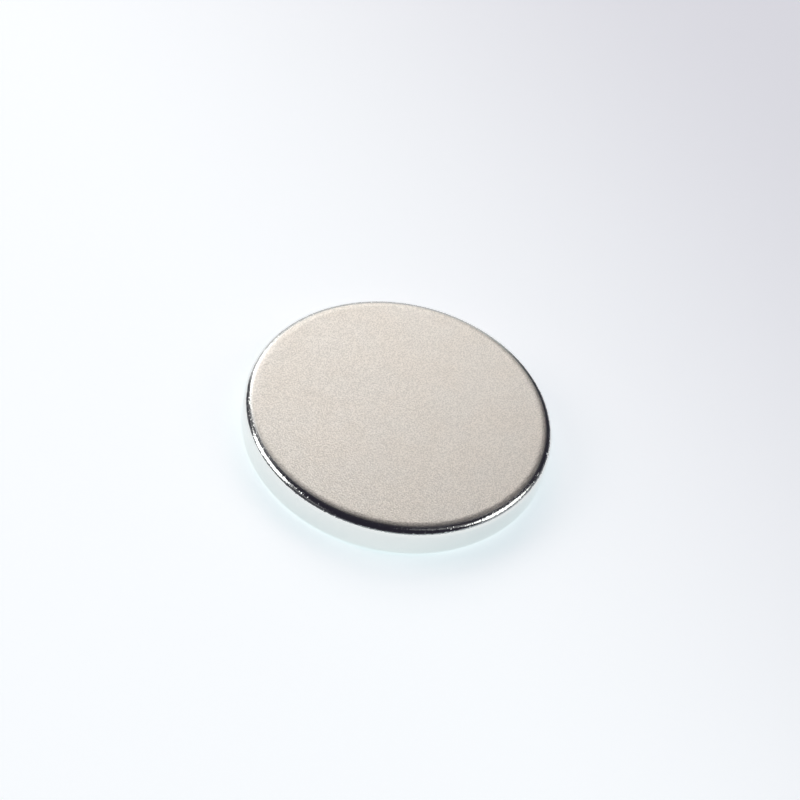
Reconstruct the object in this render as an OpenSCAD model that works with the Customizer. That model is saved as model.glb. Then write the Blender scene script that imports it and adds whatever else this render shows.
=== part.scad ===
// Disc magnet, 20 x 2.5 mm: one sintered disc of neodymium, iron and boron, tumbled and nickel plated.
// Every size is in millimetres and is taken over the plating.
// The origin is the centre of the lower pole face, and +Z is the magnetic axis.

/* [Disc] */
// Diameter over the wall
diameter = 20; // [10:0.5:60]
// Thickness between the two pole faces
thickness = 2.5; // [2:0.1:10]

/* [Tumbled edge] */
// Radius of the soft roll-off, where a pole face starts to fall away
roll_radius = 1.5; // [0.6:0.1:2]
// Slope in degrees that the roll-off reaches before the tighter corner takes over
roll_slope = 20; // [5:1:30]
// Radius of the corner between the roll-off and the wall
corner_radius = 0.5; // [0.1:0.05:0.5]

/* [Hidden] */
$fn = 144;

radius = diameter / 2;
half_thickness = thickness / 2;

// The half section starts at the middle of the disc: x runs out to the wall and y up to a pole face.
// The two arcs of an edge share one tangent, so both centres and the joint lie on one sloping line.
slope_line = [sin(roll_slope), cos(roll_slope)];
centre_gap = roll_radius - corner_radius;
roll_centre = [
    radius - corner_radius - centre_gap * slope_line.x,
    half_thickness - roll_radius
];
corner_centre = roll_centre + centre_gap * slope_line;

// Moves to a point in a coarse step and a fine one, so that the two arcs meet without a step.
module place(point) {
    coarse = [for (v = point) round(100 * v) / 100];
    translate(coarse) translate(point - coarse) children();
}

// What lies outside a round, between two directions measured from the x axis.
module outside_round(r, from, to) {
    reach = 3 * r;
    difference() {
        polygon([
            [0, 0],
            reach * [cos(from), sin(from)],
            reach * [cos(to), sin(to)]
        ]);
        circle(r = r);
    }
}

// Half of the section: a square block, which tumbling takes down to the roll-off and the corner.
module upper_half_section() {
    difference() {
        square([radius, half_thickness]);
        place(roll_centre) outside_round(roll_radius, 0, 90);
        place(corner_centre) outside_round(corner_radius, 0, 90 - roll_slope);
    }
}

// Both halves are alike, because tumbling rounds the two edges by the same amount.
module magnet() {
    color("#cfcac3")
        translate([0, 0, half_thickness])
            rotate_extrude() {
                upper_half_section();
                mirror([0, 1]) upper_half_section();
            }
}

magnet();
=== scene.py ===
"""A nickel-plated disc magnet lying on a pale table, lit by three softboxes."""

import math

import bpy
from mathutils import Matrix, Vector


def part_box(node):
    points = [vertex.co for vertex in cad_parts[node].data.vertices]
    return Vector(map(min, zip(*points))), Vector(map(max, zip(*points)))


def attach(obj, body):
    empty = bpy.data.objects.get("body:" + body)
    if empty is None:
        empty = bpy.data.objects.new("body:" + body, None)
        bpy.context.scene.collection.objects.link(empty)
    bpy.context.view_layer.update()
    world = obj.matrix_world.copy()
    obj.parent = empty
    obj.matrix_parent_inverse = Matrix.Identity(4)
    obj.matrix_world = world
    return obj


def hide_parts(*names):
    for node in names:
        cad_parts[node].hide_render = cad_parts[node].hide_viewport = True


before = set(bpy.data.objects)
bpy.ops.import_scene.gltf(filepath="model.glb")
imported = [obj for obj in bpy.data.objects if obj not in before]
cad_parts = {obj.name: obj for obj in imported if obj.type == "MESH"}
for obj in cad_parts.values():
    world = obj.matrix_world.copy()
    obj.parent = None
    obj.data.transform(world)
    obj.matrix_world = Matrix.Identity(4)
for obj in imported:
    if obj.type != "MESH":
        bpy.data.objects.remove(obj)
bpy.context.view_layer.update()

MM = 0.001

# The disc, from its CAD node. Its origin is the centre of the lower face.
LOW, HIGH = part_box("magnet")
RADIUS = HIGH.x
THICKNESS = HIGH.z - LOW.z
MIDDLE = THICKNESS / 2

# The tumbled edge: a wide roll-off that reaches a slope, then a tighter corner down to the wall.
ROLL_RADIUS = 1.5 * MM
ROLL_SLOPE = math.radians(20)
CORNER_RADIUS = 0.5 * MM
CORNER_CENTRE = RADIUS - CORNER_RADIUS
ROLL_CENTRE = CORNER_CENTRE - (ROLL_RADIUS - CORNER_RADIUS) * math.sin(ROLL_SLOPE)

# How finely the disc is divided.
STEPS_AROUND = 480
STEPS_ROLL = 16
STEPS_CORNER = 24
STEPS_WALL = 16
FACE_RINGS = (0.25, 0.5, 0.75, 0.93, 0.98, 0.995)
STEP_AT_DENT = 0.02 * MM

# Small dents in the edge and the wall: degrees round from +X, then height, radius and depth in mm.
DENTS = (
    (-2.9, 2.31, 0.13, 0.045),
    (-6.0, 1.90, 0.06, 0.020),
    (-8.7, 1.51, 0.07, 0.025),
    (-11.4, 0.93, 0.06, 0.020),
    (-73.1, 1.28, 0.10, 0.006),
    (-79.0, 2.42, 0.07, 0.015),
    (-87.1, 1.78, 0.06, 0.020),
    (-88.0, 0.36, 0.09, 0.020),
    (-92.2, 0.88, 0.08, 0.018),
    (-119.0, 2.33, 0.08, 0.020),
    (-150.7, 1.70, 0.07, 0.025),
    (-155.3, 2.11, 0.07, 0.025),
)

# Finish of the plating. The satin of the faces runs out over the roll-off.
POLISH_STARTS = ROLL_CENTRE + 0.27 * MM
POLISH_ENDS = CORNER_CENTRE + 0.20 * MM
SATIN_COOL = (0.771, 0.722, 0.658)
SATIN_WARM = (0.775, 0.717, 0.646)
POLISHED_COLOUR = (0.865, 0.88, 0.855)
SATIN_SMOOTHEST = 0.395
SATIN_ROUGHEST = 0.415
POLISHED_ROUGHNESS = 0.12

# The blasted grain lies along one direction, from +X towards +Y, and its hollow spots are painted darker
# in the colour, as painted shade of its relief.
GRAIN_TURN = math.radians(64)
GRAIN_STRETCH = 1.45
GRAIN_DEPTH = 0.0145 * MM
GRAIN_SHADE = 0.74

# How many of each mark there are to a millimetre.
GRAIN_PER_MM = 12.3
SWELLS_PER_MM = 2.2
PITS_PER_MM = 1.6
BEADS_PER_MM = 5.0
CLOUDS_PER_MM = 1.5
MOTTLE_PER_MM = 0.35

# How strong each mark is, as a share of the grain's depth, and what share of the grain polishing leaves.
SWELL_SHARE = 0.1
PIT_SHARE = 0.3
BEAD_SHARE = 0.55
POLISHED_GRAIN = 0.35

# How wide a pit or a bead is, in cells of its pattern. The beads run out just before the wall.
PIT_SIZE = 0.16
BEAD_SIZE = 0.42
BEADS_END = 0.06 * MM


def arc(centre_r, centre_z, radius, first, last, steps):
    """Points (r, z) of an arc whose normal turns from first to last, measured from +Z towards the wall."""
    points = []
    for step in range(steps + 1):
        angle = first + (last - first) * step / steps
        points.append((centre_r + radius * math.sin(angle), centre_z + radius * math.cos(angle)))
    return points


def upper_profile():
    """Half of the section, from next to the centre of the upper face out to the middle of the wall."""
    rings = [(ROLL_CENTRE * share, THICKNESS) for share in FACE_RINGS]
    roll = arc(ROLL_CENTRE, THICKNESS - ROLL_RADIUS, ROLL_RADIUS, 0, ROLL_SLOPE, STEPS_ROLL)
    corner_z = THICKNESS - ROLL_RADIUS + (ROLL_RADIUS - CORNER_RADIUS) * math.cos(ROLL_SLOPE)
    corner = arc(CORNER_CENTRE, corner_z, CORNER_RADIUS, ROLL_SLOPE, math.pi / 2, STEPS_CORNER)
    drop = (corner_z - MIDDLE) / STEPS_WALL
    wall = [(RADIUS, corner_z - drop * step) for step in range(1, STEPS_WALL + 1)]
    return rings + roll + corner[1:] + wall


def full_profile():
    """The whole section, from the upper face round the wall to the lower face."""
    upper = upper_profile()
    lower = [(r, THICKNESS - z) for r, z in reversed(upper[:-1])]
    return upper + lower


def angles_around():
    """Where the section is repeated round the axis: evenly, and more often across each dent."""
    angles = {round(math.tau * step / STEPS_AROUND, 9) for step in range(STEPS_AROUND)}
    for turn, _, radius, _ in DENTS:
        half = math.ceil(radius * MM / STEP_AT_DENT) + 1
        for step in range(-half, half + 1):
            angle = math.radians(turn) + step * STEP_AT_DENT / RADIUS
            angles.add(round(angle % math.tau, 9))
    return sorted(angles)


def skin(profile, angles):
    """Vertices and faces of the section turned round the axis, closed by a fan on each pole face."""
    count = len(angles)
    vertices = [(r * math.cos(a), r * math.sin(a), z) for r, z in profile for a in angles]
    faces = []
    for ring in range(len(profile) - 1):
        for step in range(count):
            here = ring * count + step
            beside = ring * count + (step + 1) % count
            faces.append((here, here + count, beside + count, beside))
    top = len(vertices)
    bottom = top + 1
    vertices += [(0, 0, THICKNESS), (0, 0, 0)]
    last = (len(profile) - 1) * count
    for step in range(count):
        after = (step + 1) % count
        faces.append((top, step, after))
        faces.append((bottom, last + after, last + step))
    return vertices, faces


def radius_at(height):
    """How far out the upper edge or the wall is at a height above the middle of the wall."""
    profile = upper_profile()
    for (inner, above), (outer, below) in zip(profile, profile[1:]):
        if below <= height <= above and above > below:
            return inner + (outer - inner) * (above - height) / (above - below)
    return RADIUS


def press_dents(mesh):
    """Pushes the skin in, towards the middle of the disc, where each dent is."""
    for turn, height, radius, depth in DENTS:
        angle = math.radians(turn)
        out = radius_at(height * MM)
        centre = Vector((out * math.cos(angle), out * math.sin(angle), height * MM))
        inward = (Vector((0, 0, MIDDLE)) - centre).normalized()
        for vertex in mesh.vertices:
            share = (vertex.co - centre).length / (radius * MM)
            if share < 1:
                vertex.co += inward * depth * MM * (1 - share**2) ** 2


def disc_mesh():
    """The magnet as one closed skin."""
    vertices, faces = skin(full_profile(), angles_around())
    mesh = bpy.data.meshes.new("disc")
    mesh.from_pydata(vertices, [], faces)
    mesh.polygons.foreach_set("use_smooth", [True] * len(mesh.polygons))
    press_dents(mesh)
    mesh.update()
    return mesh


class Nodes:
    """Adds and links the nodes of one node tree."""

    def __init__(self, tree):
        self.tree = tree
        tree.nodes.clear()

    def add(self, kind, inputs=None, **settings):
        """A node with its settings; an input given as a socket is linked, and any other is a value."""
        node = self.tree.nodes.new("ShaderNode" + kind)
        for name, value in settings.items():
            setattr(node, name, value)
        for key, value in (inputs or {}).items():
            if isinstance(value, bpy.types.NodeSocket):
                self.tree.links.new(value, node.inputs[key])
            else:
                node.inputs[key].default_value = value
        return node

    def maths(self, operation, a, b=0.0):
        """One arithmetic operation on two values."""
        return self.add("Math", {0: a, 1: b}, operation=operation).outputs[0]

    def ramp(self, value, start, end, low=0.0, high=1.0):
        """A value taken smoothly from low at start to high at end."""
        inputs = {"Value": value, "From Min": start, "From Max": end, "To Min": low, "To Max": high}
        return self.add("MapRange", inputs, interpolation_type="SMOOTHSTEP").outputs["Result"]

    def noise(self, place, scale, detail=2.0, roughness=0.5):
        """Smooth noise from 0 to 1, with scale waves to a unit of place."""
        inputs = {"Vector": place, "Scale": scale, "Detail": detail, "Roughness": roughness}
        return self.add("TexNoise", inputs).outputs[0]

    def specks(self, place, scale, size):
        """Is 1 at the middle of scattered specks, and runs out to 0 at size, which is in cells."""
        inputs = {"Vector": place, "Scale": scale}
        distance = self.add("TexVoronoi", inputs).outputs["Distance"]
        return self.ramp(distance, 0.0, size, 1.0, 0.0)

    def mix_colour(self, share, a, b, blend="MIX"):
        """Colour a blended with colour b by a share. Each of the three is a socket or a value."""
        node = self.add("Mix", data_type="RGBA", blend_type=blend)
        for socket, value in ((node.inputs[0], share), (node.inputs[6], a), (node.inputs[7], b)):
            if isinstance(value, bpy.types.NodeSocket):
                self.tree.links.new(value, socket)
            elif socket.type == "RGBA":
                socket.default_value = (*value, 1)
            else:
                socket.default_value = value
        return node.outputs[2]


def nickel_colour(nodes, millimetres, grain, edge):
    """Warm and cool patches with painted shade in the grain's hollow spots on the faces, and one colour on
    the edge and wall.
    """
    mottle = nodes.ramp(nodes.noise(millimetres, MOTTLE_PER_MM, 2.0), 0.35, 0.65)
    patches = nodes.mix_colour(mottle, SATIN_COOL, SATIN_WARM)
    # Painted shade: the colour darkens where the grain is low, standing in for the shading of its relief.
    painted_hollow_shade = nodes.ramp(grain, 0.3, 0.7, GRAIN_SHADE, 1.0)
    satin = nodes.mix_colour(1.0, patches, painted_hollow_shade, "MULTIPLY")
    return nodes.mix_colour(edge, satin, POLISHED_COLOUR)


def nickel_roughness(nodes, millimetres, edge):
    """Slightly cloudy satin on the faces, and nearly polished on the edge and wall."""
    cloud = nodes.noise(millimetres, CLOUDS_PER_MM, 3.0)
    satin = nodes.ramp(cloud, 0.3, 0.7, SATIN_SMOOTHEST, SATIN_ROUGHEST)
    return nodes.add("Mix", {0: edge, 2: satin, 3: POLISHED_ROUGHNESS}, data_type="FLOAT").outputs[0]


def face_relief(nodes, millimetres, along_grain, grain, edge):
    """Height of the grain with its swells and pits. It is shallower on the edge and wall."""
    swell = nodes.maths("MULTIPLY", nodes.noise(along_grain, SWELLS_PER_MM, 1.0), SWELL_SHARE)
    pits = nodes.maths("MULTIPLY", nodes.specks(millimetres, PITS_PER_MM, PIT_SIZE), PIT_SHARE)
    height = nodes.maths("SUBTRACT", nodes.maths("ADD", grain, swell), pits)
    return nodes.maths("MULTIPLY", height, nodes.ramp(edge, 0.0, 1.0, 1.0, POLISHED_GRAIN))


def edge_relief(nodes, millimetres, reach, edge):
    """Height of the beads that tumbling leaves on the corner. They end just before the wall."""
    beads = nodes.specks(millimetres, BEADS_PER_MM, BEAD_SIZE)
    before_wall = nodes.ramp(reach, (RADIUS - BEADS_END) / MM, RADIUS / MM, 1.0, 0.0)
    strength = nodes.maths("MULTIPLY", nodes.maths("MULTIPLY", edge, before_wall), BEAD_SHARE)
    return nodes.maths("MULTIPLY", beads, strength)


def nickel():
    """Satin pole faces with a fine blasted grain, and a tumbled edge and wall that are nearly polished."""
    material = bpy.data.materials.new("nickel")
    material.use_nodes = True
    nodes = Nodes(material.node_tree)
    place = nodes.add("TexCoord").outputs["Object"]
    millimetres = nodes.add("VectorMath", {0: place, "Scale": 1 / MM}, operation="SCALE").outputs[0]
    outward = nodes.add("VectorMath", {0: millimetres, 1: (1, 1, 0)}, operation="MULTIPLY").outputs[0]
    reach = nodes.add("VectorMath", {0: outward}, operation="LENGTH").outputs["Value"]
    edge = nodes.ramp(reach, POLISH_STARTS / MM, POLISH_ENDS / MM)

    lie = {"Vector": millimetres, "Rotation": (0, 0, GRAIN_TURN), "Scale": (GRAIN_STRETCH, 1, 1)}
    along_grain = nodes.add("Mapping", lie, vector_type="TEXTURE").outputs[0]
    grain = nodes.noise(along_grain, GRAIN_PER_MM, 1.0, 0.6)
    height = nodes.maths(
        "ADD",
        face_relief(nodes, millimetres, along_grain, grain, edge),
        edge_relief(nodes, millimetres, reach, edge),
    )
    bump = nodes.add("Bump", {"Height": height, "Strength": 1.0, "Distance": GRAIN_DEPTH})
    look = {
        "Base Color": nickel_colour(nodes, millimetres, grain, edge),
        "Metallic": 1.0,
        "Roughness": nickel_roughness(nodes, millimetres, edge),
        "Normal": bump.outputs[0],
    }
    shader = nodes.add("BsdfPrincipled", look)
    nodes.add("OutputMaterial", {"Surface": shader.outputs[0]})
    return material


def magnet():
    """The visible disc, in place of the CAD node."""
    piece = bpy.data.objects.new("disc_magnet", disc_mesh())
    bpy.context.scene.collection.objects.link(piece)
    piece.data.materials.append(nickel())
    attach(piece, "root")
    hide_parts("magnet")


# The table is a blue-white board, much wider than the view. Lamp light on it is warm and its own
# glow is cool, so a shadow on it turns towards cyan. Its glow is painted dimmer away from the camera
# and to the right, as painted shade, and darker and cyan next to the disc, as a painted contact shadow.
TABLE_SIZE = 4.0
TABLE_LIT = (0.70, 0.575, 0.535)
TABLE_GLOW = (0.645, 0.726, 0.766)
# Painted shade: the glow's colour far from the camera and to the right.
TABLE_FAR_PAINTED_SHADE = (0.365, 0.42, 0.486)
FAR_TOWARDS = math.radians(40)
FAR_STARTS = -8 * MM
FAR_ENDS = 55 * MM
# Painted contact shadow: the glow's colour where the disc closes the table in, and how far it reaches.
TABLE_SHADE = (0.80, 0.94, 0.95)
SHADE_REACH = 1.8 * MM


def table_material():
    """Matt board with painted shade in its glow. Part of its light comes from the lamps, so that it keeps
    the disc's shadow.
    """
    material = bpy.data.materials.new("table")
    material.use_nodes = True
    nodes = Nodes(material.node_tree)
    place = nodes.add("TexCoord").outputs["Object"]
    away = (math.cos(FAR_TOWARDS), math.sin(FAR_TOWARDS), 0)
    distance = nodes.add("VectorMath", {0: place, 1: away}, operation="DOT_PRODUCT").outputs["Value"]
    # Painted shade: the glow fades towards the far colour away from the camera and to the right.
    far = nodes.ramp(distance, FAR_STARTS, FAR_ENDS)
    open_colour = nodes.mix_colour(far, TABLE_GLOW, TABLE_FAR_PAINTED_SHADE)
    # Painted contact shadow: ambient occlusion darkens the glow towards cyan next to the disc.
    openness = nodes.add("AmbientOcclusion", {"Distance": SHADE_REACH}, samples=16).outputs["AO"]
    shade = nodes.mix_colour(openness, TABLE_SHADE, (1.0, 1.0, 1.0))
    colour = nodes.mix_colour(1.0, open_colour, shade, "MULTIPLY")
    rays = nodes.add("LightPath").outputs
    seen = nodes.maths("MAXIMUM", rays["Is Camera Ray"], rays["Is Glossy Ray"])
    seen = nodes.maths("MAXIMUM", seen, rays["Is Transmission Ray"])
    board = nodes.add("BsdfDiffuse", {"Color": (*TABLE_LIT, 1)})
    glow = nodes.add("Emission", {"Color": colour, "Strength": seen})
    both = nodes.add("AddShader", {0: board.outputs[0], 1: glow.outputs[0]})
    nodes.add("OutputMaterial", {"Surface": both.outputs[0]})
    return material


def table():
    """The board that the disc lies on."""
    half = TABLE_SIZE / 2
    corners = [(-half, -half, 0), (half, -half, 0), (half, half, 0), (-half, half, 0)]
    mesh = bpy.data.meshes.new("table")
    mesh.from_pydata(corners, [], [(0, 1, 2, 3)])
    board = bpy.data.objects.new("table", mesh)
    bpy.context.scene.collection.objects.link(board)
    board.location.z = LOW.z
    mesh.materials.append(table_material())


# How far every lamp is from the disc. It is far enough for each to look the same from all over the disc.
LAMP_DISTANCE = 0.6


def softbox(name, azimuth, elevation, width, height, radiance, lean=0.0):
    """A softbox that faces the disc.

    Its place, its size as seen from the disc and its lean are in degrees. The azimuth is from +X
    towards +Y. A radiance of 1 looks white.
    """
    turn = math.radians(azimuth)
    rise = math.radians(elevation)
    direction = Vector((math.cos(turn) * math.cos(rise), math.sin(turn) * math.cos(rise), math.sin(rise)))
    lamp = bpy.data.lights.new(name, "AREA")
    lamp.shape = "RECTANGLE"
    lamp.size = 2 * LAMP_DISTANCE * math.tan(math.radians(width / 2))
    lamp.size_y = 2 * LAMP_DISTANCE * math.tan(math.radians(height / 2))
    lamp.energy = radiance * math.pi * lamp.size * lamp.size_y
    box = bpy.data.objects.new(name, lamp)
    bpy.context.scene.collection.objects.link(box)
    box.location = direction * LAMP_DISTANCE
    facing = direction.to_track_quat("Z", "Y").to_matrix()
    box.rotation_euler = (facing @ Matrix.Rotation(math.radians(lean), 3, "Z")).to_euler()
    box.visible_camera = False


def lights():
    """Three softboxes light the disc. The cards only fill its gradients and the edge's reflections."""
    softbox("softbox_back", 107, 39, 42, 30, 2.12)
    softbox("card_back", 116, 46, 74, 40, 0.11)
    softbox("card_low", 107, 14, 60, 22, 0.5)
    softbox("softbox_left", 185, 32, 30, 30, 2.8, 25)
    softbox("softbox_right", 5, 38.5, 33, 27, 1.6)
    softbox("card_left", 214, 34, 36, 14, 0.16)
    softbox("card_right", 345, 62, 15, 30, 0.14)


# The room round the table is dark, and lighter low down, most of all to the camera's right.
ROOM_DARK = (0.021, 0.019, 0.029)
ROOM_LOW = (0.58, 0.62, 0.65)
LOW_FROM = math.sin(math.radians(2))
LOW_TO = math.sin(math.radians(24))
LOW_TOWARDS = math.radians(315)


def room():
    """The world, whose colour depends on the direction alone."""
    world = bpy.data.worlds.new("room")
    bpy.context.scene.world = world
    world.use_nodes = True
    nodes = Nodes(world.node_tree)
    way = nodes.add("TexCoord").outputs["Generated"]
    rise = nodes.add("SeparateXYZ", {0: way}).outputs["Z"]
    low = nodes.ramp(rise, LOW_FROM, LOW_TO, 1.0, 0.0)
    towards = (math.cos(LOW_TOWARDS), math.sin(LOW_TOWARDS), 0)
    side = nodes.add("VectorMath", {0: way, 1: towards}, operation="DOT_PRODUCT").outputs["Value"]
    share = nodes.maths("MULTIPLY", low, nodes.ramp(side, 0.0, 0.9, 0.15, 1.0))
    colour = nodes.mix_colour(share, ROOM_DARK, ROOM_LOW)
    background = nodes.add("Background", {"Color": colour, "Strength": 1.0})
    nodes.add("OutputWorld", {"Surface": background.outputs[0]})


# The camera, from a fit to the photograph's outline of the disc and to its scale.
CAMERA_PLACE = Vector((0, -109.62, 120.59)) * MM
CAMERA_AIM = Vector((-0.17, 3.2, 0)) * MM
CAMERA_ROLL = math.radians(13.65)
CAMERA_LENS = 113.4


def camera():
    """The camera, at the photograph's viewing angle."""
    eye = bpy.data.cameras.new("camera")
    eye.lens = CAMERA_LENS
    eye.sensor_width = 36
    eye.clip_start = 0.01
    eye.clip_end = 10
    holder = bpy.data.objects.new("camera", eye)
    bpy.context.scene.collection.objects.link(holder)
    turn = (CAMERA_AIM - CAMERA_PLACE).to_track_quat("-Z", "Y").to_matrix().to_4x4()
    holder.matrix_world = Matrix.Translation(CAMERA_PLACE) @ turn @ Matrix.Rotation(CAMERA_ROLL, 4, "Z")
    bpy.context.scene.camera = holder


magnet()
table()
lights()
room()
camera()

bpy.context.scene.view_settings.view_transform = "Standard"
